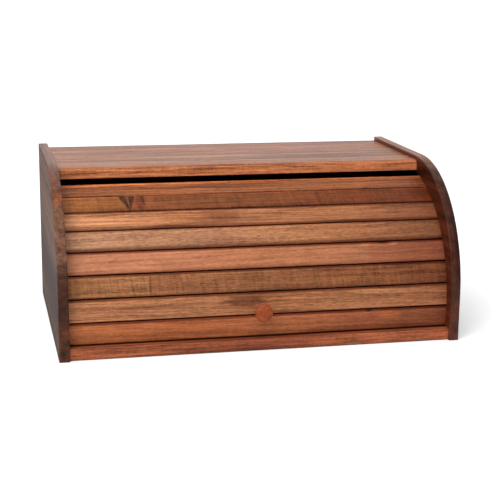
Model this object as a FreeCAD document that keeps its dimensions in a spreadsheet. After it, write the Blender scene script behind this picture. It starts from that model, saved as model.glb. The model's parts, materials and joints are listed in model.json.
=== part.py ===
import FreeCAD, Part
import math
import os
from types import SimpleNamespace

import Sketcher

# Roll-top bread bin. X runs along its width, +Y to its back and +Z up, in millimetres and degrees.
# The origin is on the surface it stands on, under the middle of the whole bin, knob included.
# The curtain of slats runs on one circle. Its axis lies along X and is the axis it rolls about.
# An angle along the curtain starts at the front, level with the axis, and grows up and over to the back.
SIZES = (
    ("width", 400, "outside, over both side panels"),
    ("depth", 262, "side panels, front to back"),
    ("height", 170.5, "side panels"),
    ("side_board", 10, "thickness of the side panels"),
    ("board", 11, "thickness of the lid, the back and the base"),
    ("corner_radius", 122.4, "rounded front top corner of the side panels"),
    ("arris", 1.2, "eased edges of the side panels"),
    ("carcass_shift", 2.0, "how far back the boards stand, to centre the bin with its knob"),
    ("lid_drop", 4.5, "lid below the side panels' top"),
    ("lid_setback", 114.4, "lid's front edge behind the side panels' front"),
    ("lid_nose", 5, "rounded front edge of the lid"),
    ("base_lift", 0.6, "base above the side panels' bottom edges"),
    ("base_setback", 2.8, "base's front edge behind the side panels' front"),
    ("board_ease", 1, "eased front edges of the lid and the base"),
    ("axis_back", 4, "curtain's axis behind the middle of the side panels"),
    ("axis_rise", 30.8, "curtain's axis above the table"),
    ("face_radius", 122.9, "axis to the slats' outer faces"),
    ("slat_thickness", 7.5, "slat"),
    ("slat_width", 21.3, "slat, across the grain"),
    ("top_slat_extra", 2.3, "more width on the free edge of the first slat"),
    ("slat_ease", 1, "rounded outer long edges of a slat"),
    ("slat_angle", 10.6, "one slat to the next"),
    ("top_edge_angle", 75.7, "free edge of the top slat"),
    ("slat_tongue", 5, "length of a slat inside each track"),
    ("track_depth", 6, "curved track in each side panel"),
    ("track_inner", 115.05, "axis to the inner wall of the track"),
    ("track_outer", 123.75, "axis to the outer wall of the track"),
    ("track_start", 10, "lower end of the track, below the level of the axis"),
    ("track_finish", 28, "back end of the track, above the level of the axis"),
    ("backing_radius", 115.3, "axis to the canvas face that is glued to the slats"),
    ("backing_thickness", 0.6, "canvas"),
    ("backing_width", 374, "canvas, along the slats"),
    ("backing_margin", 0.4, "canvas short of the curtain's ends, as an angle"),
    ("knob_slat", 7, "slat that holds the knob, from the top"),
    ("knob_left", 2.2, "knob left of the middle"),
    ("knob_below", 8, "knob below the middle of its slat"),
    ("knob_foot", 4.4, "radius of the foot on the slat"),
    ("knob_neck", 6.6, "hollow curve of the neck"),
    ("knob_under", 7.45, "radius where the neck meets the head"),
    ("knob_under_rise", 9.65, "height of that circle above the slat"),
    ("knob_rim", 2.6, "rounded rim of the head"),
    ("knob_crown", 7.37, "radius where the rim meets the domed face"),
    ("knob_crown_rise", 14.2, "height of that circle above the slat"),
    ("knob_length", 16.05, "whole knob"),
    ("screw_radius", 1.25, "shank of the knob's screw"),
    ("screw_clearance", 1.4, "hole for the shank in the slat and the canvas"),
    ("screw_reach", 8, "screw inside the knob"),
    ("screw_pilot", 9, "hole in the knob"),
    ("screw_head", 2.5, "radius of the pan head"),
    ("screw_head_height", 1.6, "pan head"),
    ("screw_head_gap", 0.55, "head clear of the canvas, which curves away under it"),
    ("screw_slot", 0.7, "width and depth of the driver slot"),
    ("dowel_hole", 3, "radius of the dowel holes"),
    ("dowel_radius", 2.95, "dowel"),
    ("dowel_in_side", 6, "depth of a dowel hole in a side panel"),
    ("dowel_in_board", 14, "depth of a dowel hole in a board's end"),
    ("dowel_glue", 0.5, "glue space at each end of a dowel"),
    ("lid_dowel_first", 5, "first lid dowel behind the middle of the side panels"),
    ("lid_dowel_step", 50, "one lid dowel to the next"),
    ("back_dowel_first", 35, "lowest back dowel above the table"),
    ("back_dowel_step", 45, "one back dowel to the next"),
    ("base_dowel_first", 95, "first base dowel ahead of the middle of the side panels"),
    ("base_dowel_step", 95, "one base dowel to the next"),
)
SLATS = 8
DOWELS_IN_ROW = 3
ORIGIN_POINT = (-1, 1)


class Size:
    """A number together with the spreadsheet expression that it comes from."""

    def __init__(self, number, text):
        self.number = number
        self.text = text

    @staticmethod
    def of(value):
        return value if isinstance(value, Size) else Size(float(value), f"{float(value)}")

    def joined(self, sign, other, number):
        return Size(number, f"({self.text} {sign} {Size.of(other).text})")

    def __add__(self, other):
        return self.joined("+", other, self.number + Size.of(other).number)

    def __sub__(self, other):
        return self.joined("-", other, self.number - Size.of(other).number)

    def __mul__(self, other):
        return self.joined("*", other, self.number * Size.of(other).number)

    def __truediv__(self, other):
        return self.joined("/", other, self.number / Size.of(other).number)

    def __neg__(self):
        return Size(-self.number, f"(-{self.text})")


def fill_sheet(document):
    """Writes the driving dimensions and returns them as Size values under their aliases."""
    sheet = document.addObject("Spreadsheet::Sheet", "sizes")
    for row, (alias, value, meaning) in enumerate(SIZES, start=1):
        sheet.set(f"A{row}", alias)
        sheet.set(f"B{row}", f"{value}")
        sheet.set(f"C{row}", meaning)
        sheet.setAlias(f"B{row}", alias)
    document.recompute()
    return SimpleNamespace(**{alias: Size(value, f"sizes.{alias}") for alias, value, _ in SIZES})


def bind(target, path, size):
    """Drives one property of a document object from the sheet."""
    target.setExpression(path, Size.of(size).text)


def new_body(document, name):
    body = document.addObject("PartDesign::Body", name)
    body.Label = name
    return body


def new_sketch(body, name, role, shift=(0, 0, 0)):
    """A sketch on one of its body's own origin planes, moved by shift in the plane's axes."""
    plane = next(feature for feature in body.Origin.OriginFeatures if feature.Role == role)
    sketch = body.newObject("Sketcher::SketchObject", name)
    sketch.AttachmentSupport = [(plane, "")]
    sketch.MapMode = "FlatFace"
    for direction, distance in zip("xyz", shift):
        bind(sketch, f"AttachmentOffset.Base.{direction}", distance)
    return sketch


def pin(sketch, geometry, end, across, up):
    """Ties one end of a sketch line or arc to the sketch's origin by two driven distances."""
    for kind, size in (("DistanceX", Size.of(across)), ("DistanceY", Size.of(up))):
        point = (geometry, end)
        order = ORIGIN_POINT + point if size.number >= 0 else point + ORIGIN_POINT
        length = size if size.number >= 0 else -size
        index = sketch.addConstraint(Sketcher.Constraint(kind, *order, length.number))
        bind(sketch, f"Constraints[{index}]", length)


def set_radius(sketch, geometry, radius):
    index = sketch.addConstraint(Sketcher.Constraint("Radius", geometry, radius.number))
    bind(sketch, f"Constraints[{index}]", radius)


def flat(across, up):
    """A point of a sketch, from two Size values."""
    return FreeCAD.Vector(Size.of(across).number, Size.of(up).number, 0)


def add_polygon(sketch, corners):
    """A closed outline of straight lines through driven corners."""
    points = [flat(*corner) for corner in corners]
    lines = [
        sketch.addGeometry(Part.LineSegment(start, end))
        for start, end in zip(points, points[1:] + points[:1])
    ]
    for line, following in zip(lines, lines[1:] + lines[:1]):
        sketch.addConstraint(Sketcher.Constraint("Coincident", line, 2, following, 1))
    for line, corner in zip(lines, corners):
        pin(sketch, line, 1, *corner)
    return lines


def add_rectangle(sketch, left, right, bottom, top):
    return add_polygon(sketch, ((left, bottom), (right, bottom), (right, top), (left, top)))


def add_circle(sketch, across, up, radius):
    circle = sketch.addGeometry(Part.Circle(flat(across, up), FreeCAD.Vector(0, 0, 1), radius.number))
    pin(sketch, circle, 3, across, up)
    set_radius(sketch, circle, radius)
    return circle


def through_arc(start, end, radius, bulge):
    """An arc between two points. bulge is 1 for a middle left of the way from start to end, else -1."""
    chord = end - start
    half = chord.Length / 2
    rise = radius - (radius * radius - half * half) ** 0.5
    left = FreeCAD.Vector(-chord.y, chord.x, 0).normalize()
    return Part.Arc(start, (start + end) / 2 + left * (bulge * rise), end)


def add_pad(body, sketch, length, symmetric=False):
    pad = body.newObject("PartDesign::Pad", f"{sketch.Name}_pad")
    pad.Profile = sketch
    pad.SideType = "Symmetric" if symmetric else "One side"
    bind(pad, "Length", length)
    return pad


def add_pocket(body, sketch, depth=None, along_normal=False):
    """Cuts a sketch's outline out of its body: to a depth, or right through."""
    document = body.Document
    document.recompute()
    before = body.Shape.Volume
    pocket = body.newObject("PartDesign::Pocket", f"{sketch.Name}_pocket")
    pocket.Profile = sketch
    pocket.Reversed = along_normal
    if depth is None:
        pocket.Type = "ThroughAll"
    else:
        bind(pocket, "Length", depth)
    document.recompute()
    if body.Shape.Volume > before - 1:
        raise RuntimeError(f"{pocket.Name} cuts nothing")
    return pocket


def round_edges(body, name, radius, chosen):
    """Rounds the edges of the body's last feature that chosen picks by their two end points."""
    body.Document.recompute()
    base = body.Tip
    names = [
        f"Edge{number}"
        for number, edge in enumerate(base.Shape.Edges, start=1)
        if chosen(edge.Vertexes[0].Point, edge.Vertexes[-1].Point)
    ]
    fillet = body.newObject("PartDesign::Fillet", name)
    fillet.Base = (base, names)
    bind(fillet, "Radius", radius)
    body.Document.recompute()
    return fillet


def same(first, second):
    return abs(first - second) < 0.001


def carcass_places(size):
    """The lines of the carcass that several pieces share, along Y and Z."""
    front = size.carcass_shift - size.depth / 2
    back = size.carcass_shift + size.depth / 2
    lid_top = size.height - size.lid_drop
    return SimpleNamespace(
        front=front,
        back=back,
        lid_front=front + size.lid_setback,
        lid_top=lid_top,
        lid_under=lid_top - size.board,
        back_inner=back - size.board,
        base_front=front + size.base_setback,
        base_top=size.base_lift + size.board,
        inner_half=size.width / 2 - size.side_board,
        axis_y=size.carcass_shift + size.axis_back,
    )


def dowel_rows(size, place):
    """The centres of the dowels, as (Y, Z), on each side of the bin."""
    lid_level = place.lid_top - size.board / 2
    back_line = place.back - size.board / 2
    base_level = size.base_lift + size.board / 2
    first_lid = size.carcass_shift + size.lid_dowel_first
    first_base = size.carcass_shift - size.base_dowel_first
    count = range(DOWELS_IN_ROW)
    return {
        "top": [(first_lid + size.lid_dowel_step * step, lid_level) for step in count],
        "back": [(back_line, size.back_dowel_first + size.back_dowel_step * step) for step in count],
        "base": [(first_base + size.base_dowel_step * step, base_level) for step in count],
    }


def add_outline(sketch, size, place):
    """The side panel's outline: upright, with one large round at the front top corner."""
    radius = size.corner_radius
    centre = (place.front + radius, size.height - radius)
    corners = {
        "front": (place.front, 0),
        "spring": (place.front, centre[1]),
        "crown": (centre[0], size.height),
        "top": (place.back, size.height),
        "bottom": (place.back, 0),
    }
    points = {name: flat(*corner) for name, corner in corners.items()}
    middle = flat(*centre) + FreeCAD.Vector(-1, 1, 0).normalize() * radius.number
    bottom = sketch.addGeometry(Part.LineSegment(points["front"], points["bottom"]))
    back = sketch.addGeometry(Part.LineSegment(points["bottom"], points["top"]))
    top = sketch.addGeometry(Part.LineSegment(points["top"], points["crown"]))
    corner = sketch.addGeometry(Part.Arc(points["crown"], middle, points["spring"]))
    front = sketch.addGeometry(Part.LineSegment(points["spring"], points["front"]))
    # Part.Arc may turn either way, so the arc's ends are matched to the lines they meet.
    crown_end = 1 if sketch.getPoint(corner, 1).distanceToPoint(points["crown"]) < 1 else 2
    spring_end = 3 - crown_end
    sketch.addConstraint(
        [
            Sketcher.Constraint("Coincident", bottom, 2, back, 1),
            Sketcher.Constraint("Coincident", back, 2, top, 1),
            Sketcher.Constraint("Tangent", top, 2, corner, crown_end),
            Sketcher.Constraint("Tangent", front, 1, corner, spring_end),
            Sketcher.Constraint("Coincident", front, 2, bottom, 1),
            Sketcher.Constraint("Vertical", front),
            Sketcher.Constraint("Horizontal", top),
        ]
    )
    pin(sketch, bottom, 1, *corners["front"])
    pin(sketch, back, 1, *corners["bottom"])
    pin(sketch, top, 1, *corners["top"])
    set_radius(sketch, corner, radius)


def add_track(sketch, size, place):
    """The curved track: a band between two arcs about the curtain's axis, with square ends."""
    centre = flat(place.axis_y, size.axis_rise)
    back_end = math.radians(size.track_finish.number)
    front_end = math.radians(180 + size.track_start.number)
    arcs = []
    for radius in (size.track_inner, size.track_outer):
        circle = Part.Circle(centre, FreeCAD.Vector(0, 0, 1), radius.number)
        arcs.append(sketch.addGeometry(Part.ArcOfCircle(circle, back_end, front_end)))
        set_radius(sketch, arcs[-1], radius)
    inner, outer = arcs
    sketch.addConstraint(Sketcher.Constraint("Coincident", inner, 3, outer, 3))
    pin(sketch, inner, 3, place.axis_y, size.axis_rise)
    # Arcs run anticlockwise, so their first end is the one at the back. Angles here turn from +Y to +Z.
    ends = (
        (1, back_end, f"{size.track_finish.text} * 1 deg"),
        (2, front_end, f"{size.track_start.text} * 1 deg + 180 deg"),
    )
    for end, angle, driven in ends:
        corners = sketch.getPoint(inner, end), sketch.getPoint(outer, end)
        line = sketch.addGeometry(Part.LineSegment(*corners))
        sketch.addConstraint(Sketcher.Constraint("Coincident", line, 1, inner, end))
        sketch.addConstraint(Sketcher.Constraint("Coincident", line, 2, outer, end))
        sketch.addConstraint(Sketcher.Constraint("PointOnObject", inner, 3, line))
        index = sketch.addConstraint(Sketcher.Constraint("Angle", line, angle))
        sketch.setExpression(f"Constraints[{index}]", driven)


def make_side_panel(document, name, size, place, rows, side):
    """A side panel: side is -1 for the left one and 1 for the right one."""
    body = new_body(document, name)
    inner = place.inner_half * side
    outer_left = -(size.width / 2) if side < 0 else place.inner_half
    outline = new_sketch(body, f"{name}_outline", "YZ_Plane", (0, 0, outer_left))
    add_outline(outline, size, place)
    add_pad(body, outline, size.side_board)

    def on_outline(first, last):
        return same(first.x, last.x) and not (same(first.z, 0) and same(last.z, 0))

    round_edges(body, f"{name}_arris", size.arris, on_outline)
    track = new_sketch(body, f"{name}_track", "YZ_Plane", (0, 0, inner))
    add_track(track, size, place)
    add_pocket(body, track, size.track_depth, along_normal=side > 0)
    holes = new_sketch(body, f"{name}_dowels", "YZ_Plane", (0, 0, inner))
    for centres in rows.values():
        for centre in centres:
            add_circle(holes, *centre, size.dowel_hole)
    add_pocket(body, holes, size.dowel_in_side, along_normal=side > 0)
    return body


def make_board(document, name, size, place, lines, centres, rounds=()):
    """A board between the side panels, with dowel holes in both ends.

    lines are its front, back, bottom and top. rounds are (name, radius, Y, Z) of edges along X.
    """
    body = new_body(document, name)
    profile = new_sketch(body, f"{name}_profile", "YZ_Plane")
    add_rectangle(profile, *lines)
    add_pad(body, profile, place.inner_half * 2, symmetric=True)
    for label, radius, line_y, line_z in rounds:

        def on_line(first, last, y=line_y.number, z=line_z.number):
            return all(same(point.y, y) and same(point.z, z) for point in (first, last))

        round_edges(body, f"{name}_{label}", radius, on_line)
    holes = new_sketch(body, f"{name}_dowels", "YZ_Plane", (0, 0, place.inner_half))
    for centre in centres:
        add_circle(holes, *centre, size.dowel_hole)
    pocket = add_pocket(body, holes, size.dowel_in_board)
    one_end = body.Shape.Volume
    mirrored = body.newObject("PartDesign::Mirrored", f"{name}_other_end")
    mirrored.Originals = [pocket]
    plane = next(feature for feature in body.Origin.OriginFeatures if feature.Role == "YZ_Plane")
    mirrored.MirrorPlane = (plane, [""])
    body.Tip = mirrored
    document.recompute()
    if body.Shape.Volume > one_end - 1:
        raise RuntimeError(f"{mirrored.Name} cuts nothing")
    return body


def set_on_curtain(body, size, place, number):
    """Turns a body drawn with its face towards -Y to the place of one slat, counted from the top."""
    body.Placement = FreeCAD.Placement(FreeCAD.Vector(), FreeCAD.Rotation(FreeCAD.Vector(-1, 0, 0), 1))
    bind(body, "Placement.Base.y", place.axis_y)
    bind(body, "Placement.Base.z", size.axis_rise)
    bind(body, "Placement.Rotation.Angle", size.top_edge_angle - size.slat_angle * (number - 0.5))


def make_slat(document, size, place, number):
    """One slat, drawn about the curtain's axis with its outer face towards -Y."""
    body = new_body(document, f"slat_{number}")
    half = size.slat_width / 2
    upper = half + size.top_slat_extra if number == 1 else half
    face = -size.face_radius
    profile = new_sketch(body, f"slat_{number}_profile", "YZ_Plane")
    add_rectangle(profile, face, face + size.slat_thickness, -half, upper)
    length = place.inner_half * 2 + size.slat_tongue * 2
    add_pad(body, profile, length, symmetric=True)

    def on_outer_face(first, last):
        return same(first.y, face.number) and same(last.y, face.number) and same(first.z, last.z)

    round_edges(body, f"slat_{number}_ease", size.slat_ease, on_outer_face)
    if number == size.knob_slat.number:
        hole = new_sketch(body, f"slat_{number}_screw_hole", "XZ_Plane")
        add_circle(hole, -size.knob_left, -size.knob_below, size.screw_clearance)
        add_pocket(body, hole, along_normal=True)
    set_on_curtain(body, size, place, number)
    return body


def make_backing(document, size, place):
    """The canvas that joins the slats, as a curved sheet. It is drawn in the knob slat's own frame."""
    body = new_body(document, "tambour_backing")
    inner_radius = size.backing_radius - size.backing_thickness
    profile = new_sketch(body, "tambour_backing_section", "XY_Plane")
    half = size.backing_width / 2
    add_rectangle(profile, -half, half, -size.backing_radius, -inner_radius)
    band = body.newObject("PartDesign::Revolution", "tambour_backing_band")
    band.Profile = profile
    band.ReferenceAxis = (profile, ["H_Axis"])
    band.Type = "TwoAngles"
    below = size.slat_angle * (Size.of(SLATS) - size.knob_slat + 0.5) - size.backing_margin
    above = size.slat_angle * (size.knob_slat - 0.5) - size.backing_margin
    bind(band, "Angle", below)
    bind(band, "Angle2", above)
    hole = new_sketch(body, "tambour_backing_screw_hole", "XZ_Plane")
    add_circle(hole, -size.knob_left, -size.knob_below, size.screw_clearance)
    add_pocket(body, hole, along_normal=True)
    set_on_curtain(body, size, place, size.knob_slat)
    return body


def add_turned_half(sketch, size):
    """Half of the knob's section: foot, hollow neck, rounded rim and domed face about the Y axis."""
    face = -size.face_radius
    places = {
        "foot_middle": (0, face),
        "foot": (size.knob_foot, face),
        "under": (size.knob_under, face - size.knob_under_rise),
        "crown": (size.knob_crown, face - size.knob_crown_rise),
        "tip": (0, face - size.knob_length),
    }
    points = {name: flat(*corner) for name, corner in places.items()}
    dome_half = size.knob_crown.number
    dome_rise = size.knob_length.number - size.knob_crown_rise.number
    dome_radius = (dome_half**2 + dome_rise**2) / (2 * dome_rise)
    foot = sketch.addGeometry(Part.LineSegment(points["foot_middle"], points["foot"]))
    curves = (
        (points["foot"], points["under"], size.knob_neck, -1),
        (points["under"], points["crown"], size.knob_rim, 1),
        (points["crown"], points["tip"], Size.of(dome_radius), 1),
    )
    chain = [(foot, 1, 2)]
    for start, end, radius, bulge in curves:
        arc = sketch.addGeometry(through_arc(start, end, radius.number, bulge))
        forward = sketch.getPoint(arc, 1).distanceToPoint(start) < 0.01
        chain.append((arc, 1, 2) if forward else (arc, 2, 1))
    middle = sketch.addGeometry(Part.LineSegment(points["tip"], points["foot_middle"]))
    chain.append((middle, 1, 2))
    for (line, _, end), (following, start, _) in zip(chain, chain[1:] + chain[:1]):
        sketch.addConstraint(Sketcher.Constraint("Coincident", line, end, following, start))
    for (line, start, _), corner in zip(chain, places.values()):
        pin(sketch, line, start, *corner)
    set_radius(sketch, chain[1][0], size.knob_neck)
    set_radius(sketch, chain[2][0], size.knob_rim)
    sketch.addConstraint(Sketcher.Constraint("PointOnObject", chain[3][0], 3, -2))


def turn_about_middle(body, sketch):
    """Turns a half section a full turn about its sketch's own upright axis."""
    solid = body.newObject("PartDesign::Revolution", f"{sketch.Name}_turned")
    solid.Profile = sketch
    solid.ReferenceAxis = (sketch, ["V_Axis"])
    solid.Angle = 360
    return solid


def make_knob(document, size, place):
    """The turned knob, with a blind pilot hole for its screw."""
    body = new_body(document, "knob")
    middle = (-size.knob_left, 0, -size.knob_below)
    section = new_sketch(body, "knob_section", "XY_Plane", middle)
    add_turned_half(section, size)
    turn_about_middle(body, section)
    pilot = new_sketch(body, "knob_pilot", "XZ_Plane", (0, 0, size.face_radius))
    add_circle(pilot, -size.knob_left, -size.knob_below, size.screw_radius)
    add_pocket(body, pilot, size.screw_pilot, along_normal=True)
    set_on_curtain(body, size, place, size.knob_slat)
    return body


def make_knob_screw(document, size, place):
    """The screw that holds the knob, driven from inside the bin through the canvas and the slat."""
    body = new_body(document, "knob_screw")
    seat = size.backing_thickness + size.screw_head_gap - size.backing_radius
    head = seat + size.screw_head_height
    tip = -size.face_radius - size.screw_reach
    middle = (-size.knob_left, 0, -size.knob_below)
    section = new_sketch(body, "knob_screw_section", "XY_Plane", middle)
    shank = size.screw_radius
    rim = size.screw_head
    add_polygon(section, ((0, tip), (shank, tip), (shank, seat), (rim, seat), (rim, head), (0, head)))
    turn_about_middle(body, section)
    slot = new_sketch(body, "knob_screw_slot", "XZ_Plane", (0, 0, -head))
    half_slot = size.screw_slot / 2
    left, right = -size.knob_left - size.screw_head, size.screw_head - size.knob_left
    add_rectangle(slot, left, right, -size.knob_below - half_slot, half_slot - size.knob_below)
    add_pocket(body, slot, size.screw_slot, along_normal=True)
    set_on_curtain(body, size, place, size.knob_slat)
    return body


def make_dowels(document, name, size, place, centres):
    """A row of dowels at each end of one board, as one group of separate solids."""
    length = size.dowel_in_side + size.dowel_in_board - size.dowel_glue * 2
    far_end = place.inner_half + size.dowel_in_side - size.dowel_glue
    dowels = []
    for end, start in (("left", -far_end), ("right", far_end - length)):
        for number, (middle_y, middle_z) in enumerate(centres, start=1):
            dowel = document.addObject("Part::Cylinder", f"{name}_{end}_{number}")
            dowel.Placement.Rotation = FreeCAD.Rotation(FreeCAD.Vector(0, 1, 0), 90)
            bind(dowel, "Radius", size.dowel_radius)
            bind(dowel, "Height", length)
            bind(dowel, "Placement.Base.x", start)
            bind(dowel, "Placement.Base.y", middle_y)
            bind(dowel, "Placement.Base.z", middle_z)
            dowels.append(dowel)
    group = document.addObject("Part::Compound", name)
    group.Label = name
    group.Links = dowels
    return group


def build(document):
    """Makes every sub-part of the bin and returns them."""
    size = fill_sheet(document)
    place = carcass_places(size)
    rows = dowel_rows(size, place)
    lid_lines = (place.lid_front, place.back, place.lid_under, place.lid_top)
    lid_rounds = (
        ("nose", size.lid_nose, place.lid_front, place.lid_top),
        ("under", size.board_ease, place.lid_front, place.lid_under),
    )
    back_lines = (place.back_inner, place.back, size.base_lift, place.lid_under)
    base_lines = (place.base_front, place.back_inner, size.base_lift, place.base_top)
    base_rounds = (
        ("top_edge", size.board_ease, place.base_front, place.base_top),
        ("bottom_edge", size.board_ease, place.base_front, size.base_lift),
    )
    return [
        make_side_panel(document, "left_side_panel", size, place, rows, side=-1),
        make_side_panel(document, "right_side_panel", size, place, rows, side=1),
        make_board(document, "top_panel", size, place, lid_lines, rows["top"], lid_rounds),
        make_board(document, "back_panel", size, place, back_lines, rows["back"]),
        make_board(document, "base_panel", size, place, base_lines, rows["base"], base_rounds),
        *(make_dowels(document, f"{row}_dowels", size, place, centres) for row, centres in rows.items()),
        *(make_slat(document, size, place, number) for number in range(1, SLATS + 1)),
        make_backing(document, size, place),
        make_knob(document, size, place),
        make_knob_screw(document, size, place),
    ]


def check(document, subparts):
    """Stops on a failed object or a bad shape, because a recompute alone doesn't raise."""
    failed = [item.Name for item in document.Objects if {"Invalid", "Error"} & set(item.State)]
    if failed:
        raise RuntimeError(f"failed objects: {failed}")
    for subpart in subparts:
        if subpart.Shape.isNull() or not subpart.Shape.isValid() or not subpart.Shape.Solids:
            raise RuntimeError(f"{subpart.Label} has no valid solid")


def write(subparts):
    os.makedirs("parts", exist_ok=True)
    for subpart in subparts:
        subpart.Shape.exportStep(f"parts/{subpart.Label}.step")


document = FreeCAD.newDocument("bread_bin")
subparts = build(document)
document.recompute()
check(document, subparts)
write(subparts)
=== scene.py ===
import json
import math

import bmesh
import bpy
from mathutils import Matrix, Vector

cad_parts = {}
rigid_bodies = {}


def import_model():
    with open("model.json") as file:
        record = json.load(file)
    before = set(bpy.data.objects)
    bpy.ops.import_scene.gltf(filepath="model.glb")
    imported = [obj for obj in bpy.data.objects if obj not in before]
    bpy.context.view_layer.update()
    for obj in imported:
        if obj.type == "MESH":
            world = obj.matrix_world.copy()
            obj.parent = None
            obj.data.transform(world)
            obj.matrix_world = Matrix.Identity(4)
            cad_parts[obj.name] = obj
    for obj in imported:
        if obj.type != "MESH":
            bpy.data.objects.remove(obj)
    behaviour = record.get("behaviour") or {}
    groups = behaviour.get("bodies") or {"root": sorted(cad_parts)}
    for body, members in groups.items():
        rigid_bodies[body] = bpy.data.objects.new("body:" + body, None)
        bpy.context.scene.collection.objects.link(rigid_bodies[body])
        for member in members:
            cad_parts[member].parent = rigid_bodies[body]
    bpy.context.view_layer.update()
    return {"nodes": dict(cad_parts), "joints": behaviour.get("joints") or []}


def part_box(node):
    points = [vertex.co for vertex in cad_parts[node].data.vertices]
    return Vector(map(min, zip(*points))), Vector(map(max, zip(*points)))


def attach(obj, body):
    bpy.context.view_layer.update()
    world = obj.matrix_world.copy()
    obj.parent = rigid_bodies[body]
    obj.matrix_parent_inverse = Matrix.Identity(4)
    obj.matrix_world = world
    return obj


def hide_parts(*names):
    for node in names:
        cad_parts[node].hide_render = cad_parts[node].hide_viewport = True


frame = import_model()

# Roll-top bread bin in oiled acacia. Metres: X along the width, +Y to the back, Z up.
# Wood is described in mm: along the grain, across it, and out of the board's face.
MM = 0.001
NODES = frame["nodes"]
AXIS = Vector(frame["joints"][0]["pos_m"])
SLATS = sorted(name for name in NODES if name.startswith("slat_"))
WIDE, BACK, UP = Vector((1, 0, 0)), Vector((0, 1, 0)), Vector((0, 0, 1))

GRAIN_RELIEF = 0.12 * MM
CANVAS_THICKNESS = 0.45 * MM
CANVAS_GAP = 0.05 * MM
CANVAS_RADIUS = 115.0 * MM
THREAD_SPACING = 0.8 * MM
HOLE_HALF = 1.5 * MM

CAMERA_PLACE = (-0.2745, -1.2686, 0.376)
CAMERA_YAW, CAMERA_PITCH, CAMERA_ROLL = 12.73, 13.19, 0.66
CAMERA_LENS, CAMERA_SENSOR = 90.4, 36.0
FLOOR_HALF_SIZE = 60.0


# ---------------------------------------------------------------- shader building

class Tree:
    """A node tree with short calls for the nodes that the materials use."""

    def __init__(self, tree):
        self.tree = tree

    def put(self, socket, value):
        """Links a socket, or sets it where value is a plain number or colour."""
        if isinstance(value, bpy.types.NodeSocket):
            self.tree.links.new(value, socket)
        elif value is not None:
            socket.default_value = value

    def node(self, kind, inputs=None, **settings):
        made = self.tree.nodes.new(kind)
        for name, value in settings.items():
            setattr(made, name, value)
        for key, value in (inputs or {}).items():
            self.put(made.inputs[key], value)
        return made

    def math(self, operation, first, second=None):
        return self.node("ShaderNodeMath", {0: first, 1: second}, operation=operation).outputs[0]

    def add(self, *terms):
        total = terms[0]
        for term in terms[1:]:
            total = self.math("ADD", total, term)
        return total

    def times(self, *terms):
        total = terms[0]
        for term in terms[1:]:
            total = self.math("MULTIPLY", total, term)
        return total

    def less(self, first, second):
        return self.math("SUBTRACT", first, second)

    def vector(self, operation, first, second=None):
        made = self.node("ShaderNodeVectorMath", {0: first, 1: second}, operation=operation)
        return made.outputs["Value" if operation in ("DOT_PRODUCT", "LENGTH") else "Vector"]

    def combine(self, *values):
        return self.node("ShaderNodeCombineXYZ", dict(enumerate(values))).outputs[0]

    def parts(self, vector):
        return self.node("ShaderNodeSeparateXYZ", {0: vector}).outputs

    def span(self, value, low, high, to_low=0.0, to_high=1.0, smooth=True):
        """value from low..high to to_low..to_high, held at both ends."""
        kind = "SMOOTHSTEP" if smooth else "LINEAR"
        inputs = {"Value": value, "From Min": low, "From Max": high, "To Min": to_low, "To Max": to_high}
        return self.node("ShaderNodeMapRange", inputs, interpolation_type=kind, clamp=True).outputs[0]

    def noise(self, vector, sizes, detail=1.0, roughness=0.5):
        """Noise around 0 whose features are about as large as sizes."""
        scaled = self.vector("MULTIPLY", vector, tuple(1 / size for size in sizes))
        inputs = {"Vector": scaled, "Scale": 1.0, "Detail": detail, "Roughness": roughness}
        return self.less(self.node("ShaderNodeTexNoise", inputs).outputs[0], 0.5)

    def mix(self, factor, first, second, blend="MIX"):
        made = self.node("ShaderNodeMix", data_type="RGBA", blend_type=blend)
        for index, value in ((0, factor), (6, first), (7, second)):
            self.put(made.inputs[index], value)
        return made.outputs[2]

    def tinted(self, factor, colour, multiplier):
        """colour multiplied by multiplier where factor is 1."""
        return self.mix(factor, colour, multiplier, blend="MULTIPLY")

    def ramp(self, value, stops):
        """A colour that runs through stops: (value, sRGB colour) pairs in rising order."""
        low, high = stops[0][0], stops[-1][0]
        made = self.node("ShaderNodeValToRGB", {0: self.span(value, low, high, smooth=False)})
        points = made.color_ramp.elements
        for index, (place, colour) in enumerate(stops):
            share = (place - low) / (high - low)
            point = points.new(share) if 0 < index < len(stops) - 1 else points[-1 if index else 0]
            point.color = tint(*colour)
        return made.outputs[0]


def tint(red, green, blue):
    """The linear colour of an sRGB one."""
    def linear(value):
        value /= 255
        return value / 12.92 if value <= 0.04045 else ((value + 0.055) / 1.055) ** 2.4

    return (linear(red), linear(green), linear(blue), 1.0)


def new_material(name):
    """A material with its tree emptied but for the output and one Principled shader."""
    material = bpy.data.materials.new(name)
    material.use_nodes = True
    material.node_tree.nodes.clear()
    tree = Tree(material.node_tree)
    shader = tree.node("ShaderNodeBsdfPrincipled")
    output = tree.node("ShaderNodeOutputMaterial")
    tree.put(output.inputs["Surface"], shader.outputs["BSDF"])
    return material, tree, shader


def dress(names, material):
    """Gives pieces one material in every slot."""
    for name in names:
        piece = bpy.data.objects[name]
        piece.data.materials.clear()
        piece.data.materials.append(material)


def add_mesh(name, mesh):
    data = bpy.data.meshes.new(name)
    mesh.to_mesh(data)
    mesh.free()
    piece = bpy.data.objects.new(name, data)
    bpy.context.scene.collection.objects.link(piece)
    return piece


# ---------------------------------------------------------------- wood

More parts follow.
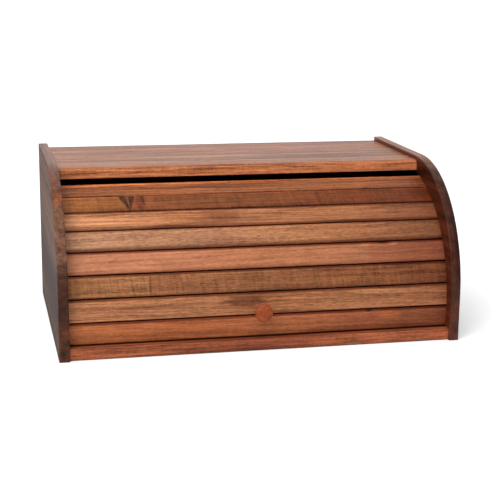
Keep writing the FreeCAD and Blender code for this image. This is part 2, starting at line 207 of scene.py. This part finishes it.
def wood_grain():
    """The grain of acacia as a node group. Every output but Pores is about 0 on average."""
    group = bpy.data.node_groups.new("acacia_grain", "ShaderNodeTree")
    for name, kind in (("Vector", "Vector"), ("Bend", "Float")):
        group.interface.new_socket(name, in_out="INPUT", socket_type=f"NodeSocket{kind}")
    outcomes = ("Bands", "Streaks", "Flecks", "Ribbons", "Clouds", "Hue", "Pores")
    for name in outcomes:
        group.interface.new_socket(name, in_out="OUTPUT", socket_type="NodeSocketFloat")
    tree = Tree(group)
    given = tree.node("NodeGroupInput").outputs
    place = given["Vector"]

    # Growth layers wander a little along the board, and bend round knots.
    wander = tree.times(tree.noise(place, (230, 40, 40)), 9.0)
    ripple = tree.times(tree.noise(place, (45, 12, 12)), 1.6)
    shift = tree.add(wander, ripple, given["Bend"])
    layers = tree.vector("ADD", place, tree.combine(0.0, shift, tree.times(shift, 0.6)))
    bands = tree.noise(layers, (480, 7.5, 9), detail=1.0)
    streaks = tree.add(
        tree.noise(layers, (150, 2.4, 3.2), detail=1.5),
        tree.times(tree.noise(layers, (42, 0.9, 1.3), detail=1.0), 0.8),
    )
    flecks = tree.add(
        tree.noise(layers, (6.5, 1.2, 1.2), detail=2.0, roughness=0.6),
        tree.times(tree.noise(layers, (3.0, 0.45, 0.6), detail=1.0), 0.6),
    )
    # Interlocked grain: ribbons that cross the board, each reflecting a little differently.
    lean = tree.combine(tree.times(tree.parts(place)[1], 0.12), 0.0, 0.0)
    leaning = tree.vector("ADD", place, lean)
    ribbons = tree.add(
        tree.times(tree.noise(leaning, (9.0, 50, 50), detail=1.0), 0.5),
        tree.noise(leaning, (3.0, 30, 30), detail=1.0),
        tree.noise(leaning, (1.3, 14, 14), detail=0.0),
    )
    clouds = tree.noise(place, (42, 12, 12), detail=2.0)
    hue = tree.noise(tree.vector("ADD", place, (311.0, 97.0, 41.0)), (60, 8, 8), detail=1.5)
    # Open pores: short dark dashes along the grain, crowded in places.
    dashes = tree.noise(layers, (4.6, 0.34, 0.34), detail=0.0)
    crowd = tree.noise(layers, (40, 3.0, 3.0), detail=1.0)
    pores = tree.times(tree.span(dashes, 0.1, 0.2), tree.span(crowd, -0.12, 0.12, 0.3, 1.0))
    result = tree.node("NodeGroupOutput").inputs
    for name, value in zip(outcomes, (bands, streaks, flecks, ribbons, clouds, hue, pores)):
        tree.put(result[name], value)
    return group


GRAIN = wood_grain()


class Wood:
    """The wood of one piece: its own directions, its colour as it is built up, and its finish."""

    def __init__(self, name, along, across, middle, seed, slope=0.0, knots=()):
        self.material, self.tree, self.shader = new_material(name)
        self.rough = 0.4
        tree = self.tree
        coordinates = tree.node("ShaderNodeTexCoord").outputs
        local = tree.vector("SUBTRACT", coordinates["Object"], tuple(middle))
        directions = (along, across, along.cross(across))
        lengths = [
            tree.times(tree.vector("DOT_PRODUCT", local, tuple(direction)), 1 / MM)
            for direction in directions
        ]
        self.place = tree.combine(*lengths)
        self.along, self.across, self.deep = tree.parts(self.place)
        self.facing = [
            tree.vector("DOT_PRODUCT", coordinates["Normal"], tuple(direction))
            for direction in directions
        ]
        leaning = tree.combine(0.0, tree.times(self.along, -slope), 0.0)
        self.cut = tree.vector("ADD", self.place, leaning)
        self.cut = tree.vector("ADD", self.cut, (seed * 731.0, seed * 57.0, seed * 113.0))
        bend = 0.0
        for centre, reach in knots:
            swirl = self.spot(centre, (reach[0] * 3.2, reach[1] * 2.6), ragged=0.1, inner=0.0)
            bend = tree.add(bend, tree.times(swirl, reach[1] * 1.8))
        self.read_grain(self.cut, bend)

    def read_grain(self, place, bend=0.0):
        made = self.tree.node("ShaderNodeGroup", node_tree=GRAIN)
        self.tree.put(made.inputs["Vector"], place)
        self.tree.put(made.inputs["Bend"], bend)
        self.grain = made.outputs

    def spot(self, centre, reach, ragged=0.3, inner=0.35):
        """A soft oval mask: centre and reach are along and across the board."""
        tree = self.tree
        step = tree.combine(
            tree.times(tree.less(self.along, centre[0]), 1 / reach[0]),
            tree.times(tree.less(self.across, centre[1]), 1 / reach[1]),
            0.0,
        )
        wobble = tree.noise(self.place, (reach[0] * 0.5, reach[1] * 0.35, 6.0), detail=2.0)
        distance = tree.add(tree.vector("LENGTH", step), tree.times(wobble, ragged * 2))
        return tree.span(distance, 1.0, inner)

    def beyond(self, place, width=1.0, ragged=2.0):
        """A mask that is 1 to the right of a place along the board."""
        wobble = self.tree.times(self.tree.noise(self.place, (3.0, 2.5, 3.0), detail=2.0), ragged * 2)
        return self.tree.span(self.tree.add(self.along, wobble), place - width / 2, place + width / 2)

    def flame(self, place, top, depth, width, lean=0.0):
        """A dark, streaky tongue that hangs from top and narrows to its tip depth lower."""
        tree = self.tree
        below = tree.less(top, self.across)
        wobble = tree.times(tree.noise(self.place, (1.0, 5.0, 3.0), detail=2.0), 4.0)
        middle = tree.add(self.along, tree.times(below, lean), wobble, -place)
        half = tree.span(below, 0.0, depth, width / 2, -1.0, smooth=False)
        inside = tree.span(tree.less(half, tree.math("ABSOLUTE", middle)), -0.8, 1.2)
        return tree.times(inside, tree.span(tree.noise(self.place, (0.7, 9.0, 3.0)), -0.2, 0.05, 0.55, 1.0))

    def paint(self, base, bands=0.9, streaks=1.6, flecks=1.2, ribbons=0.3, clouds=0.6, hue=0.5):
        """The base colour with the grain over it: dark wood is redder and light wood is yellower."""
        tree = self.tree
        strengths = {
            "Bands": bands, "Streaks": streaks, "Flecks": flecks, "Ribbons": ribbons, "Clouds": clouds,
        }
        tone = tree.add(*(tree.times(self.grain[name], strength) for name, strength in strengths.items()))
        darker = tree.span(tone, 0.0, -1.0, smooth=False)
        lighter = tree.span(tone, 0.0, 1.0, smooth=False)
        colour = tree.tinted(darker, base, (0.30, 0.24, 0.20, 1))
        colour = tree.tinted(lighter, colour, (1.75, 1.80, 1.80, 1))
        warm = tree.times(self.grain["Hue"], hue)
        colour = tree.tinted(tree.span(warm, 0.0, 0.5, smooth=False), colour, (1.04, 1.10, 0.78, 1))
        self.colour = tree.tinted(tree.span(warm, 0.0, -0.5, smooth=False), colour, (1.02, 0.86, 1.0, 1))

    def recolour(self, mask, multiplier, amount=1.0):
        self.colour = self.tree.tinted(self.tree.times(mask, amount), self.colour, multiplier + (1,))

    def knot(self, centre, reach):
        """A small dark knot with a reddish ring."""
        self.recolour(self.spot(centre, (reach[0] * 2.0, reach[1] * 1.8)), (0.62, 0.46, 0.42), 0.6)
        self.recolour(self.spot(centre, reach, ragged=0.25), (0.22, 0.16, 0.15), 0.9)

    def finish(self, pores=0.5, specular=0.13):
        """An oil finish, uneven over pores and streaks."""
        tree, grain = self.tree, self.grain
        self.recolour(grain["Pores"], (0.42, 0.34, 0.3), pores)
        rough = tree.add(
            self.rough,
            tree.times(grain["Pores"], 0.15),
            tree.times(grain["Streaks"], -0.1),
            tree.times(grain["Clouds"], 0.12),
        )
        height = tree.add(
            tree.times(grain["Pores"], -1.0),
            tree.times(grain["Streaks"], 0.5),
            tree.times(grain["Ribbons"], 0.25),
        )
        inputs = {"Height": height, "Distance": GRAIN_RELIEF, "Strength": 0.5}
        bump = tree.node("ShaderNodeBump", inputs)
        tree.put(self.shader.inputs["Base Color"], self.colour)
        tree.put(self.shader.inputs["Roughness"], rough)
        tree.put(self.shader.inputs["Normal"], bump.outputs["Normal"])
        self.shader.inputs["Specular IOR Level"].default_value = specular
        return self.material


# ---------------------------------------------------------------- slats

def curtain_angles():
    """Each slat's angle above the level of the axis, from the evenly spaced middle slats."""
    def angle(name):
        low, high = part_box(name)
        arm = (low + high) / 2 - AXIS
        return math.atan2(arm.z, -arm.y)

    inner = SLATS[1:-1]
    step = (angle(inner[0]) - angle(inner[-1])) / (len(inner) - 1)
    return {name: angle(inner[0]) - step * (index - 1) for index, name in enumerate(SLATS)}


ANGLES = curtain_angles()


def slat_directions(name):
    """A slat's directions up its face and out of its face."""
    turn = ANGLES[name]
    return Vector((0, math.sin(turn), math.cos(turn))), Vector((0, -math.cos(turn), math.sin(turn)))


def reach_from_axis(name, direction):
    """The least and the greatest distance of a piece from the curtain's axis in a direction."""
    distances = [(vertex.co - AXIS).dot(direction) for vertex in NODES[name].data.vertices]
    return min(distances), max(distances)


class SlatWood(Wood):
    """A slat's wood, with its origin in the middle of its outer face."""

    def __init__(self, name, slope=0.0, knots=()):
        self.name = name
        upward, outward = slat_directions(name)
        middle = AXIS + outward * reach_from_axis(name, outward)[1]
        super().__init__(f"wood_{name}", WIDE, upward, middle, float(name.split("_")[1]), slope, knots)

    def done(self, pores=0.5, glue_line_and_joint_shade=0.9, foot_shade=0.3, hem_shade=0.0):
        """A painted highlight with some wear along the upper edge, and painted shade in and beside the joints
        between slats.

        After pores come how dark the painted shade is in the joints, how dark the painted shade on the lower
        edge is above them, and how dark the painted shade on its last millimetre is.
        """
        tree = self.tree
        bottom, top = (reach / MM for reach in reach_from_axis(self.name, slat_directions(self.name)[0]))
        breakup = tree.span(tree.noise(self.place, (18, 3, 3), detail=2.0), -0.15, 0.15, 0.35, 1.0)
        # Painted highlight with some wear: the upper edge lighter, where its rounded arris catches the light.
        wear_and_highlight = tree.times(
            tree.span(self.across, top - 4.0, top - 3.0),
            tree.span(self.across, top - 0.2, top - 1.2),
        )
        self.recolour(tree.times(wear_and_highlight, breakup), (1.9, 1.8, 1.7), 0.2)
        # Painted shade: the lower edge darker above the joint, and its last millimetre darker still.
        self.recolour(tree.span(self.across, bottom + 4.8, bottom + 1.0), (0.3, 0.17, 0.1), foot_shade)
        self.recolour(tree.span(self.across, bottom + 1.8, bottom + 0.6), (0.1, 0.05, 0.04), hem_shade)
        # Painted shade in the joints: the upper edge under the next slat, and the gap walls deep in the
        # joint, darker.
        self.recolour(tree.span(self.across, top - 2.6, top - 1.2), (0.3, 0.16, 0.1), glue_line_and_joint_shade)
        gap_wall_shade = tree.math(
            "MAXIMUM",
            tree.span(self.across, bottom + 0.4, bottom + 0.1),
            tree.span(self.across, top - 0.4, top - 0.1),
        )
        self.recolour(tree.times(gap_wall_shade, tree.span(self.deep, -0.5, -1.5)), (0.5, 0.28, 0.18), glue_line_and_joint_shade)
        dress([self.name], self.finish(pores=pores))


def dress_slats():
    """Every slat is its own piece of acacia, from golden sapwood to red-brown heartwood. The colours listed
    along each slat run darker and redder towards its right end: partly the wood, partly painted shade where
    less light falls.
    """
    wood = SlatWood("slat_1", slope=0.004)
    wood.paint(wood.tree.ramp(wood.along, (
        (-190, (128, 72, 38)), (-60, (134, 75, 41)), (140, (118, 65, 35)), (190, (105, 54, 28)),
    )), bands=0.9, streaks=3.0, flecks=2.2, ribbons=0.2)
    # Painted highlight with some wear: a light band along the upper edge, where the arris catches the light.
    wood.recolour(wood.tree.span(wood.across, 6.6, 8.6), (1.85, 1.75, 1.6), 0.9)
    wood.done(glue_line_and_joint_shade=0.0, foot_shade=0.0)

    wood = SlatWood("slat_2")
    wood.paint(wood.tree.ramp(wood.along, (
        (-190, (132, 78, 38)), (-134, (122, 69, 30)), (-112, (110, 57, 29)), (-108, (113, 61, 29)),
        (0, (106, 56, 26)), (100, (101, 47, 15)), (190, (86, 35, 9)),
    )), bands=0.4, streaks=1.6, flecks=1.6, ribbons=0.8, clouds=0.8)
    wood.recolour(wood.flame(-130, 11, 32, 8.5, lean=-0.3), (0.08, 0.05, 0.05), 1.0)
    wood.recolour(wood.flame(-120.5, 11, 28, 7.5, lean=0.12), (0.14, 0.12, 0.13), 1.0)
    wood.recolour(wood.flame(-110, 11, 24, 6, lean=-0.1), (0.35, 0.24, 0.26), 0.9)
    wood.recolour(wood.spot((-113, 1), (7, 12)), (0.85, 0.6, 0.64), 0.9)
    wood.recolour(wood.spot((-40, 11), (80, 3)), (0.6, 0.5, 0.45), 0.35)
    # Painted highlight with some wear: a light band along the upper edge, where the arris catches the light.
    wood.recolour(wood.tree.span(wood.across, 8.8, 10.3), (2.3, 2.1, 1.9), 0.9)
    wood.done(glue_line_and_joint_shade=0.0, foot_shade=0.1)

    wood = SlatWood("slat_3", slope=-0.008)
    wood.paint(wood.tree.ramp(wood.along, (
        (-190, (170, 115, 79)), (-90, (159, 102, 64)), (-50, (140, 86, 52)), (-12, (145, 92, 58)),
        (100, (144, 90, 57)), (190, (109, 60, 37)),
    )), bands=1.4, streaks=2.3, flecks=1.5, ribbons=0.15)
    patch = wood.spot((-33, 2), (26, 12), ragged=0.5)
    left_of_line = wood.tree.less(1.0, wood.beyond(-15, width=2.0))
    wood.recolour(wood.tree.times(patch, left_of_line), (0.62, 0.52, 0.48), 0.8)
    wood.recolour(wood.spot((-86, -10), (38, 4)), (0.5, 0.36, 0.3), 0.8)
    wood.recolour(wood.spot((100, -10), (60, 3)), (0.55, 0.4, 0.34), 0.7)
    wood.done(foot_shade=0.75)

    wood = SlatWood("slat_4", slope=0.03)
    wood.paint(wood.tree.ramp(wood.along, (
        (-190, (156, 111, 82)), (-60, (147, 100, 71)), (20, (157, 104, 68)), (100, (140, 88, 55)),
        (190, (108, 64, 40)),
    )), bands=0.5, streaks=1.2, flecks=2.0, ribbons=0.15)
    wood.done(pores=0.7, glue_line_and_joint_shade=0.5, foot_shade=0.85)

    wood = SlatWood("slat_5", slope=0.02, knots=(((126.5, 10), (12, 5)),))
    wood.paint(wood.tree.ramp(wood.along, (
        (-190, (166, 106, 77)), (0, (159, 99, 67)), (60, (161, 101, 69)), (108, (146, 92, 63)),
        (112, (141, 83, 57)), (190, (120, 63, 42)),
    )), bands=0.6, streaks=1.1, flecks=1.1, ribbons=0.1)
    wood.knot((126.5, 10.3), (7, 2.2))
    wood.recolour(wood.spot((108, 8.5), (9, 3.0), ragged=0.5, inner=0.0), (1.6, 1.6, 1.65), 0.7)
    wood.recolour(wood.spot((138, 8.5), (10, 3.0), ragged=0.5, inner=0.0), (1.6, 1.6, 1.65), 0.7)
    wood.done(foot_shade=0.4)

    wood = SlatWood("slat_6")
    wood.paint(wood.tree.ramp(wood.along, (
        (-190, (134, 87, 55)), (-112, (134, 89, 57)), (-108, (129, 81, 51)), (0, (121, 75, 48)),
        (110, (118, 71, 44)), (190, (101, 54, 32)),
    )), bands=0.4, streaks=1.6, flecks=1.7, ribbons=0.7, clouds=1.1, hue=0.8)
    wood.recolour(wood.spot((-110.5, 0), (1.6, 14)), (0.5, 0.42, 0.4), 0.7)
    wood.recolour(wood.spot((-141, -6), (9, 4)), (1.25, 1.1, 1.2), 0.6)
    wood.done(foot_shade=0.25)

    wood = SlatWood("slat_7", slope=-0.01)
    wood.paint(wood.tree.ramp(wood.along, (
        (-190, (149, 97, 65)), (-60, (139, 90, 60)), (10, (145, 91, 58)), (100, (145, 94, 62)),
        (190, (134, 82, 53)),
    )), bands=0.8, streaks=2.2, flecks=1.7, ribbons=0.15)
    wood.recolour(wood.spot((-20, 3), (30, 9), ragged=0.5), (0.42, 0.34, 0.34), 0.85)
    wood.done(foot_shade=0.0)

    wood = SlatWood("slat_8", slope=-0.02, knots=(((108, 9.5), (7, 3.5)),))
    wood.paint(wood.tree.ramp(wood.along, (
        (-190, (160, 93, 54)), (-60, (154, 86, 50)), (25, (156, 90, 56)), (95, (138, 77, 47)),
        (190, (108, 55, 33)),
    )), bands=0.7, streaks=1.3, flecks=1.3, ribbons=0.1)
    wood.knot((108, 10), (3, 1.4))
    wood.recolour(wood.spot((130, 5), (18, 6)), (1.5, 1.45, 1.1), 0.8)
    wood.recolour(wood.spot((90, -8), (70, 4)), (0.72, 0.62, 0.6), 0.7)
    wood.done(foot_shade=0.1, hem_shade=0.7)


# ---------------------------------------------------------------- boards

def board_wood(name, along, across, middle, stops, seed, joints=(), end_dark=0.6, **strengths):
    """A board glued up from strips: stops are its colours across, joints the lines between strips."""
    wood = Wood(name, along, across, middle, seed)
    tree = wood.tree
    strip = 0.0
    glue_line_and_joint_shade = 0.0
    for joint in joints:
        strip = tree.add(strip, tree.times(tree.math("GREATER_THAN", wood.across, joint), 37.0))
        near = tree.math("ABSOLUTE", tree.less(wood.across, joint))
        glue_line_and_joint_shade = tree.math("MAXIMUM", glue_line_and_joint_shade, tree.span(near, 0.35, 0.05))
    # Each strip is cut from another place in the tree.
    apart = tree.combine(tree.times(strip, 9.0), tree.times(strip, 2.3), strip)
    wood.read_grain(tree.vector("ADD", wood.cut, apart))
    wood.paint(tree.ramp(wood.across, stops), **strengths)
    wood.recolour(glue_line_and_joint_shade, (0.5, 0.42, 0.38), 0.5)
    wood.recolour(tree.span(tree.math("ABSOLUTE", wood.facing[0]), 0.4, 0.95), (0.5, 0.4, 0.38), end_dark)
    return wood


def dress_boards():
    lid_low, lid_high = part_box("top_panel")
    wood = board_wood(
        "wood_lid", WIDE, BACK, Vector((0, lid_low.y, lid_high.z)),
        ((0, (142, 83, 50)), (12, (128, 78, 45)), (25, (144, 87, 52)), (42, (117, 70, 41)),
         (62, (142, 88, 52)), (85, (123, 73, 43)), (110, (144, 85, 52)), (148, (117, 68, 41))),
        11.0, joints=(38, 79, 117), bands=3.2, streaks=3.0, flecks=1.6,
    )
    wood.recolour(wood.tree.span(wood.facing[1], -0.2, -0.75), (1.5, 1.55, 1.65), 0.9)
    streaked = wood.tree.times(
        wood.tree.span(wood.grain["Streaks"], 0.02, -0.3),
        wood.tree.span(wood.facing[2], 0.6, 0.95),
    )
    wood.recolour(streaked, (0.52, 0.46, 0.42), 0.9)
    wood.recolour(wood.tree.span(wood.along, 20.0, 160.0), (0.86, 0.84, 0.84), 0.9)
    wood.rough = 0.34
    dress(["top_panel"], wood.finish(specular=0.1))

    base_low, base_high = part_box("base_panel")
    wood = board_wood(
        "wood_base", WIDE, BACK, Vector((0, base_low.y, base_high.z)),
        ((0, (130, 70, 44)), (30, (120, 68, 46)), (90, (132, 84, 58)), (150, (112, 66, 46)),
         (248, (130, 80, 54))),
        13.0, joints=(42, 88, 130, 175, 214), bands=2.4, streaks=2.8, flecks=1.8,
    )
    # Painted shade, with some gathered finish and crumbs: a dark line on the base where the shut curtain's
    # lower edge is.
    line = wood.tree.times(
        wood.tree.span(wood.facing[2], 0.6, 0.95),
        wood.tree.span(wood.across, 7.0, 9.5),
        wood.tree.span(wood.across, 14.0, 11.5),
    )
    wood.recolour(line, (0.1, 0.06, 0.05), 0.95)
    wood.recolour(wood.tree.span(wood.along, -80.0, -180.0), (1.3, 1.3, 1.25), 0.9)
    wood.recolour(wood.spot((-10, 0), (120, 40), ragged=0.2, inner=0.2), (0.68, 0.62, 0.62), 0.8)
    wood.recolour(wood.tree.span(wood.along, 120.0, 180.0), (1.2, 1.15, 1.1), 0.9)
    dress(["base_panel"], wood.finish())

    wood = board_wood(
        "wood_back", WIDE, UP, Vector((0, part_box("back_panel")[0].y, 0)),
        ((0, (118, 70, 48)), (40, (134, 88, 62)), (80, (110, 64, 44)), (120, (130, 80, 56)),
         (156, (116, 72, 50))),
        17.0, joints=(36, 78, 118), bands=0.9, streaks=1.6, flecks=1.4,
    )
    dress(["back_panel"], wood.finish())


def dress_sides():
    """The side panels: darker boards, with end grain all round their curved front edges."""
    left = (
        (0, (72, 39, 25)), (30, (80, 44, 28)), (46, (52, 26, 16)), (68, (58, 32, 21)),
        (84, (72, 46, 34)), (98, (100, 66, 50)), (128, (104, 68, 48)), (171, (98, 60, 44)),
    )
    right = (
        (0, (78, 41, 27)), (30, (82, 44, 28)), (46, (60, 30, 18)), (70, (66, 34, 22)),
        (85, (68, 34, 22)), (110, (64, 31, 19)), (140, (64, 32, 20)), (160, (66, 35, 22)),
        (171, (122, 76, 50)),
    )
    panels = (("left_side_panel", left, 19.0, 1), ("right_side_panel", right, 23.0, -1))
    for name, stops, seed, inward in panels:
        wood = board_wood(
            f"wood_{name}", BACK, UP, Vector(), stops, seed, joints=(42, 85, 128),
            bands=2.4, streaks=1.7, flecks=0.4, end_dark=0.3,
        )
        side = wood.tree.times(wood.facing[2], inward)
        # Painted shade: the inner faces darker and redder than the outer ones, and darker still near their
        # top.
        inner = wood.tree.span(side, 0.5, 0.9)
        wood.recolour(inner, (1.12, 0.75, 0.46), 0.9)
        wood.recolour(wood.tree.times(inner, wood.tree.span(wood.across, 146.0, 158.0)), (0.36, 0.21, 0.11), 0.9)
        # On the curved edges: dark heartwood along the right one, and a painted red-gold highlight near the
        # top of the left one.
        rim = wood.tree.span(wood.tree.math("ABSOLUTE", side), 0.6, 0.2)
        heart = wood.tree.times(
            rim,
            wood.tree.span(wood.deep, 193.5, 197.0),
            wood.tree.span(wood.across, 156.0, 138.0),
            wood.tree.span(wood.across, 50.0, 80.0),
        )
        wood.recolour(heart, (0.5, 0.4, 0.5), 0.8)
        # Painted highlight: a red-gold patch where the left edge curves over near its top.
        red_gold_highlight = wood.tree.times(rim, wood.tree.span(wood.deep, 0.0, -1.0), wood.spot((-78, 147), (12, 10)))
        wood.recolour(red_gold_highlight, (1.6, 1.15, 0.75), 0.9)
        # Painted reflection: the outer faces greyer, cooler and darker, standing in for a pale sheen.
        outer = wood.tree.span(side, -0.5, -0.9)
        wood.recolour(outer, (0.62, 0.72, 0.8), 0.9)
        wood.rough = wood.tree.add(0.38, wood.tree.times(outer, 0.3))
        dress([name], wood.finish())


def dress_knob():
    """The turned knob, with its grain along its length: a domed face of end grain."""
    upward, outward = slat_directions("slat_7")
    low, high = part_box("knob")
    wood = Wood("wood_knob", outward, upward, (low + high) / 2, 29.0)
    wood.paint(tint(134, 62, 30), bands=0.4, streaks=1.0, flecks=1.4, ribbons=0.0, clouds=0.7)
    wood.rough = 0.42
    dress(["knob"], wood.finish())


def dress_dowels():
    wood = Wood("dowel_beech", WIDE, BACK, Vector(), 31.0)
    wood.paint(tint(186, 152, 110), bands=0.4, streaks=1.3, flecks=1.7, ribbons=0.0)
    wood.rough = 0.6
    dress(["top_dowels", "back_dowels", "base_dowels"], wood.finish())


def dress_screw():
    material, tree, shader = new_material("zinc_steel")
    point = tree.node("ShaderNodeTexCoord").outputs["Object"]
    low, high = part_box("knob_screw")
    local = tree.vector("SUBTRACT", point, tuple((low + high) / 2))
    mottle = tree.noise(local, (0.9 * MM,) * 3, detail=3.0)
    colour = tree.mix(tree.span(mottle, -0.15, 0.15), tint(176, 172, 160), tint(206, 204, 196))
    tree.put(shader.inputs["Base Color"], colour)
    tree.put(shader.inputs["Roughness"], tree.span(mottle, -0.2, 0.2, 0.28, 0.46))
    shader.inputs["Metallic"].default_value = 1.0
    dress(["knob_screw"], material)


# ---------------------------------------------------------------- canvas

def canvas_sheet():
    """The canvas glued to the slats' backs, flat on each slat, with a small hole for the knob's screw.

    Returns it with its flat size: its width and the length of the line that it follows.
    """
    columns = 94
    per_slat = 8
    low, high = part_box("tambour_backing")
    lines = []
    for name in SLATS:
        upward, outward = slat_directions(name)
        inner = reach_from_axis(name, outward)[0] - CANVAS_GAP
        bottom, top = reach_from_axis(name, upward)
        for step in range(per_slat + 1):
            height = top + (bottom - top) * step / per_slat
            lines.append(AXIS + outward * inner + upward * height)
    size = (high.x - low.x, sum((after - before).length for before, after in zip(lines, lines[1:])))
    mesh = bmesh.new()
    rows = [
        [
            mesh.verts.new((low.x + (high.x - low.x) * column / columns, line.y, line.z))
            for column in range(columns + 1)
        ]
        for line in lines
    ]
    for upper, lower in zip(rows, rows[1:]):
        for column in range(columns):
            mesh.faces.new((upper[column], upper[column + 1], lower[column + 1], lower[column]))

    upward, outward = slat_directions("slat_7")
    screw = sum(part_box("knob_screw"), Vector()) / 2
    for direction in (WIDE, upward):
        for side in (-HOLE_HALF, HOLE_HALF):
            everything = mesh.verts[:] + mesh.edges[:] + mesh.faces[:]
            cut = screw + direction * side
            bmesh.ops.bisect_plane(mesh, geom=everything, plane_co=cut, plane_no=direction)
    under_head = [
        face for face in mesh.faces
        if (face.calc_center_median() - screw).cross(outward).length < HOLE_HALF - 0.05 * MM
        and (face.calc_center_median() - screw).length < 30 * MM
    ]
    bmesh.ops.delete(mesh, geom=under_head, context="FACES")
    bmesh.ops.recalc_face_normals(mesh, faces=mesh.faces)
    sample = mesh.faces[0]
    if (sample.calc_center_median() - AXIS).dot(sample.normal) < 0:
        bmesh.ops.reverse_faces(mesh, faces=mesh.faces)
    bmesh.ops.solidify(mesh, geom=mesh.faces[:], thickness=CANVAS_THICKNESS)
    return add_mesh("canvas_backing", mesh), size


def make_canvas():
    """Undyed canvas in a plain weave, with a thread every 0.8 mm."""
    sheet, size = canvas_sheet()
    material, tree, shader = new_material("canvas_weave")
    point = tree.vector("SUBTRACT", tree.node("ShaderNodeTexCoord").outputs["Object"], tuple(AXIS))
    x, y, z = tree.parts(point)
    arc = tree.times(tree.math("ARCTAN2", z, tree.times(y, -1.0)), CANVAS_RADIUS)
    slub = tree.noise(point, (9 * MM, 3 * MM, 3 * MM), detail=2.0)
    turns = 2 * math.pi / THREAD_SPACING
    warp = tree.math("SINE", tree.add(tree.times(x, turns), tree.times(slub, 1.2)))
    weft = tree.math("SINE", tree.add(tree.times(arc, turns), tree.times(slub, 1.2)))
    woven = tree.times(warp, weft)
    soil = tree.noise(point, (60 * MM, 30 * MM, 30 * MM), detail=3.0)
    colour = tree.mix(tree.span(soil, -0.2, 0.2), tint(186, 172, 142), tint(206, 194, 166))
    colour = tree.tinted(tree.span(woven, 0.2, -0.9), colour, (0.72, 0.7, 0.66, 1))
    height = tree.add(tree.times(woven, 0.5), slub)
    bump = tree.node("ShaderNodeBump", {"Height": height, "Distance": 0.12 * MM, "Strength": 0.7})
    tree.put(shader.inputs["Base Color"], colour)
    tree.put(shader.inputs["Roughness"], tree.span(slub, -0.2, 0.2, 0.8, 0.95))
    tree.put(shader.inputs["Normal"], bump.outputs["Normal"])
    shader.inputs["Specular IOR Level"].default_value = 0.2
    shader.inputs["Sheen Weight"].default_value = 0.3
    dress([sheet.name], material)
    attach(sheet, "tambour")
    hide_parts("tambour_backing")


# ---------------------------------------------------------------- studio

def make_camera():
    """The view: from the front, 13 degrees to the left and 13 degrees up, with a long lens."""
    yaw, pitch, roll = map(math.radians, (CAMERA_YAW, CAMERA_PITCH, CAMERA_ROLL))
    ahead = Vector((math.sin(yaw) * math.cos(pitch), math.cos(yaw) * math.cos(pitch), -math.sin(pitch)))
    level = Vector((math.cos(yaw), -math.sin(yaw), 0))
    upright = level.cross(ahead)
    right = level * math.cos(roll) + upright * math.sin(roll)
    up = upright * math.cos(roll) - level * math.sin(roll)
    data = bpy.data.cameras.new("camera")
    data.lens = CAMERA_LENS
    data.sensor_width = CAMERA_SENSOR
    camera = bpy.data.objects.new("camera", data)
    bpy.context.scene.collection.objects.link(camera)
    turn = Matrix((right, up, -ahead)).transposed().to_4x4()
    camera.matrix_world = Matrix.Translation(Vector(CAMERA_PLACE)) @ turn
    bpy.context.scene.camera = camera


def make_floor():
    mesh = bmesh.new()
    bmesh.ops.create_grid(mesh, x_segments=1, y_segments=1, size=FLOOR_HALF_SIZE)
    floor = add_mesh("floor", mesh)
    material, tree, shader = new_material("floor_paper")
    point = tree.node("ShaderNodeTexCoord").outputs["Object"]
    fleck = tree.span(tree.noise(point, (0.4, 0.4, 0.4), detail=2.0), -0.3, 0.3)
    tree.put(shader.inputs["Base Color"], tree.mix(fleck, (0.92, 0.92, 0.92, 1), (0.95, 0.95, 0.95, 1)))
    shader.inputs["Roughness"].default_value = 0.9
    shader.inputs["Specular IOR Level"].default_value = 0.1
    dress(["floor"], material)


def add_lamp(name, kind, energy, place, target, **settings):
    data = bpy.data.lights.new(name, kind)
    data.energy = energy
    for key, value in settings.items():
        setattr(data, key, value)
    lamp = bpy.data.objects.new(name, data)
    bpy.context.scene.collection.objects.link(lamp)
    lamp.location = place
    lamp.rotation_euler = (Vector(target) - Vector(place)).to_track_quat("-Z", "Y").to_euler()


def make_lights():
    world = bpy.data.worlds.new("studio")
    bpy.context.scene.world = world
    world.use_nodes = True
    background = world.node_tree.nodes["Background"]
    background.inputs["Color"].default_value = (1.0, 1.0, 1.0, 1.0)
    # A white room, darker on the photographer's side.
    tree = Tree(world.node_tree)
    direction = tree.parts(tree.node("ShaderNodeTexCoord").outputs["Generated"])
    tree.put(background.inputs["Strength"], tree.span(direction[1], -0.7, 0.8, 0.15, 1.15))
    add_lamp("overhead", "SUN", 2.6, (-0.8, -1.4, 2.6), (0, 0, 0), angle=math.radians(70))
    add_lamp("key", "AREA", 9.0, (-0.9, -1.0, 0.9), (-0.05, 0, 0.08), shape="RECTANGLE", size=0.9, size_y=0.6)
    bpy.context.scene.view_settings.view_transform = "Standard"


make_camera()
make_floor()
make_lights()
dress_slats()
dress_boards()
dress_sides()
dress_knob()
dress_dowels()
dress_screw()
make_canvas()
